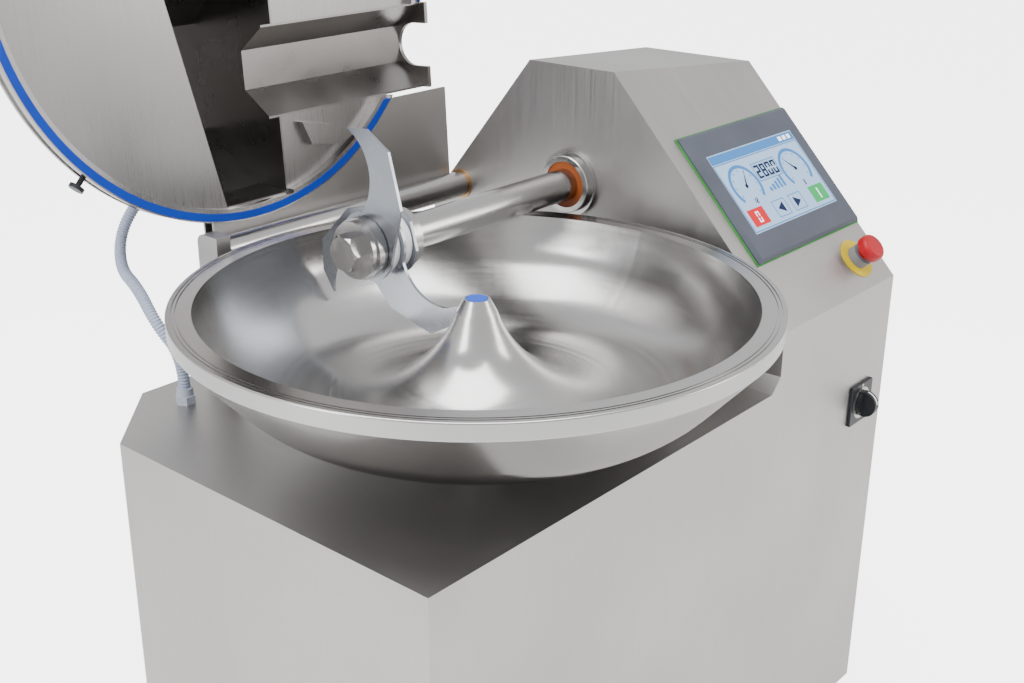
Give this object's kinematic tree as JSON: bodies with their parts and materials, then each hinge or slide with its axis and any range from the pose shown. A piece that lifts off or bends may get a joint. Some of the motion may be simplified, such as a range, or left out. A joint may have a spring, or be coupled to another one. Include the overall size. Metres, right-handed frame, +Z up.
{
  "type": "meat bowl cutter",
  "caption": "Floor-standing stainless bowl cutter with a turning bowl, sickle knives on a belt-driven shaft and a hinged round lid with a knife hood.",
  "frame": {"origin": "on the floor, in the middle of the rectangle of the four foot anchor holes", "axes": "+X to the housing end on the right, +Y to the rear where the lid is hinged, +Z up"},
  "size_m": [1.0519, 0.9384, 1.621],
  "materials": {
    "bearing_steel": "ground",
    "bezel_plastic": "fine texture",
    "black_plastic": "satin",
    "black_rubber": "matt",
    "blade_steel": "ground blade steel",
    "blue_plastic": "satin",
    "blue_rubber": "satin",
    "bronze": "bronze",
    "brushed_panel": "vertical brushed stainless",
    "cast_iron": "machined cast iron",
    "conduit_plastic": "corrugated",
    "fastener": "stainless fastener",
    "frame_steel": "satin grey",
    "gland_plastic": "satin",
    "green_rubber": "satin",
    "machined_steel": "turned stainless",
    "motor_paint": "blue-grey enamel",
    "polished_steel": "polished stainless",
    "pulley_aluminium": "machined",
    "red_plastic": "gloss",
    "screen_glass": "gloss, backlit picture",
    "seal_rubber": "satin",
    "white_plastic": "satin",
    "yellow_plastic": "gloss"
  },
  "bodies": {
    "cabinet": {"cabinet_shell": "brushed_panel", "base_frame": "frame_steel", "rear_cover": "brushed_panel", "side_cover": "brushed_panel", "cover_screws": "fastener", "foot_stems": "fastener", "foot_pads": "black_plastic", "spindle_housing": "cast_iron", "spindle_bearings": "bearing_steel", "spindle_seal": "black_rubber", "bowl_belt": "black_rubber", "bowl_motor": "motor_paint", "bowl_motor_bracket": "frame_steel", "bearing_tube": "cast_iron", "shaft_bearings": "bearing_steel", "shaft_flange": "machined_steel", "shaft_seal": "seal_rubber", "drive_belts": "black_rubber", "motor_case": "motor_paint", "hinge_post": "brushed_panel", "hinge_pin": "machined_steel", "hinge_bushes": "bronze", "hmi_bezel": "bezel_plastic", "hmi_screen": "screen_glass", "hmi_seal": "green_rubber", "hmi_case": "black_plastic", "estop_ring": "yellow_plastic", "estop_body": "yellow_plastic", "switch_plate": "black_plastic", "electrical_box": "frame_steel", "deck_gland": "gland_plastic", "conduit": "conduit_plastic"},
    "bowl": {"bowl": "polished_steel", "bowl_cap": "blue_plastic", "bowl_hub": "machined_steel", "bowl_spindle": "machined_steel", "bowl_pulley": "pulley_aluminium"},
    "bowl_drive": {"bowl_motor_pulley": "pulley_aluminium"},
    "motor_rotor": {"motor_rotor": "machined_steel", "motor_pulley": "cast_iron"},
    "knife_head": {"knife_shaft": "machined_steel", "knife_collar": "machined_steel", "knife_one": "blade_steel", "knife_two": "blade_steel", "knife_three": "blade_steel", "spacer_rings": "white_plastic", "clamp_washer": "machined_steel", "shaft_nut": "machined_steel", "shaft_pulley": "cast_iron"},
    "lid": {"lid_ring": "polished_steel", "lid_plates": "brushed_panel", "knife_hood": "brushed_panel", "shaft_tunnel": "brushed_panel", "lid_gasket": "blue_rubber", "lid_bracket": "brushed_panel", "hinge_tube": "machined_steel", "lid_gland": "gland_plastic"},
    "lid_knob": {"lid_knob": "black_plastic"},
    "estop": {"estop_button": "red_plastic"},
    "switch": {"switch_knob": "black_plastic"}
  },
  "joints": [
    {"name": "bowl_spin", "type": "hinge", "parent": "cabinet", "child": "bowl", "pos_m": [-0.2032, -0.1192, 0.72], "axis": [0, 0, 1], "continuous": true},
    {"name": "bowl_motor_spin", "type": "hinge", "parent": "cabinet", "child": "bowl_drive", "pos_m": [-0.4032, -0.1192, 0.52], "axis": [0, 0, 1], "continuous": true},
    {"name": "motor_spin", "type": "hinge", "parent": "cabinet", "child": "motor_rotor", "pos_m": [0.29, 0.044, 0.323], "axis": [1, 0, 0], "continuous": true},
    {"name": "knife_spin", "type": "hinge", "parent": "cabinet", "child": "knife_head", "pos_m": [0.1785, 0.044, 0.9395], "axis": [1, 0, 0], "continuous": true},
    {"name": "lid_hinge", "type": "hinge", "parent": "cabinet", "child": "lid", "pos_m": [0, 0.2565, 0.9005], "axis": [1, 0, 0], "range_deg": [0, 93.5], "deforming": ["conduit"]},
    {"name": "lid_knob_pull", "type": "slide", "parent": "lid", "child": "lid_knob", "axis": [-0.7009, -0.0435, -0.7119], "range_m": [0, 0.006], "stiffness_N_per_m": 600, "springref_m": -0.003},
    {"name": "estop_press", "type": "slide", "parent": "cabinet", "child": "estop", "axis": [0, 0.7254, -0.6883], "range_m": [0, 0.004]},
    {"name": "switch_turn", "type": "hinge", "parent": "cabinet", "child": "switch", "pos_m": [0.418, -0.312, 0.624], "axis": [0, -1, 0], "range_deg": [0, 90]}
  ],
  "couplings": [
    {"joint": "bowl_motor_spin", "follows": "bowl_spin", "ratio": 3.3333},
    {"joint": "knife_spin", "follows": "motor_spin", "ratio": 1.25}
  ]
}
